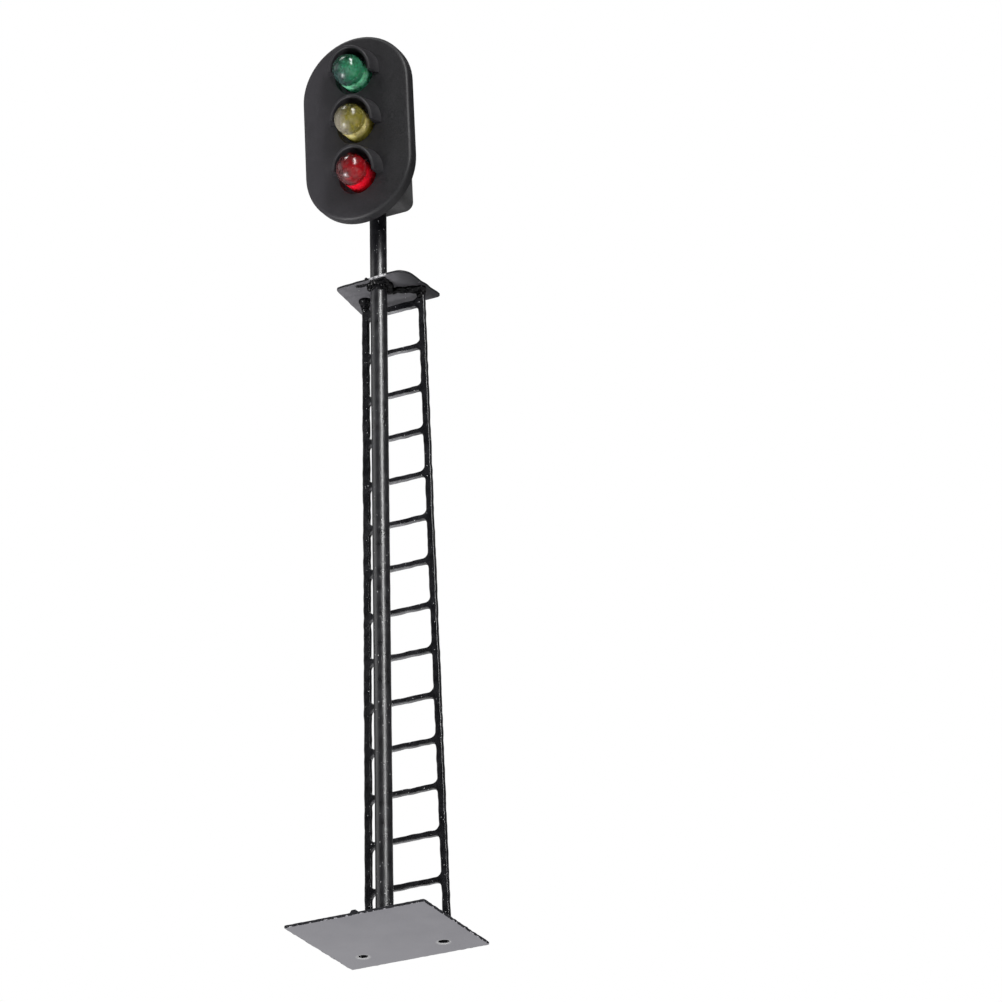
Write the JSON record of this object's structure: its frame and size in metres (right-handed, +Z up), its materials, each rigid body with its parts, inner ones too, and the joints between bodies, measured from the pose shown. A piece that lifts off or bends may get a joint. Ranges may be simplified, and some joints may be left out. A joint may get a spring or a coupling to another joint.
{
  "type": "model signal mast",
  "caption": "Model railway colour-light signal on a tubular mast with ladder, small platform and a thin base plate; for trackside scenery and working block signals.",
  "frame": {"origin": "where the mast's axis meets the underside of the base plate", "axes": "+Z up along the mast, -Y is the side that the lamps face, the ladder stands behind the mast on +Y, +X is to the right seen from the front"},
  "size_m": [0.0138, 0.0142, 0.089],
  "materials": {
    "base_metal": "matte bare grey underside, thin black paint on top and edges",
    "black_paint": "gloss black paint with small specks",
    "painted_solder": "gloss black paint pooled over solder",
    "black_plastic": "satin charcoal moulded plastic",
    "green_resin": "clear green tinted epoxy",
    "yellow_resin": "clear olive yellow tinted epoxy",
    "red_resin": "clear red tinted epoxy",
    "tinned_metal": "bright tin plate",
    "lamp_die": "pale crystal",
    "circuit_board": "green solder mask",
    "black_insulation": "smooth enamel",
    "green_insulation": "smooth enamel",
    "yellow_insulation": "smooth enamel",
    "red_insulation": "smooth enamel"
  },
  "bodies": {
    "root": {"base_plate": "base_metal", "mast_tube": "black_paint", "mast_foot_solder": "painted_solder", "ladder": "black_paint", "ladder_foot_solder": "painted_solder", "platform": "black_paint", "platform_mast_solder": "painted_solder", "platform_ladder_solder": "painted_solder", "target_plate": "black_plastic", "hood_green": "black_plastic", "hood_yellow": "black_plastic", "hood_red": "black_plastic", "lamp_green": "green_resin", "lamp_yellow": "yellow_resin", "lamp_red": "red_resin", "lamp_anodes": "tinned_metal", "lamp_cathodes": "tinned_metal", "lamp_dies": "lamp_die", "rear_cover": "black_plastic", "mast_socket": "black_plastic", "lamp_board": "circuit_board", "board_solder": "tinned_metal", "lead_common": "black_insulation", "lead_green": "green_insulation", "lead_yellow": "yellow_insulation", "lead_red": "red_insulation"}
  },
  "joints": []
}
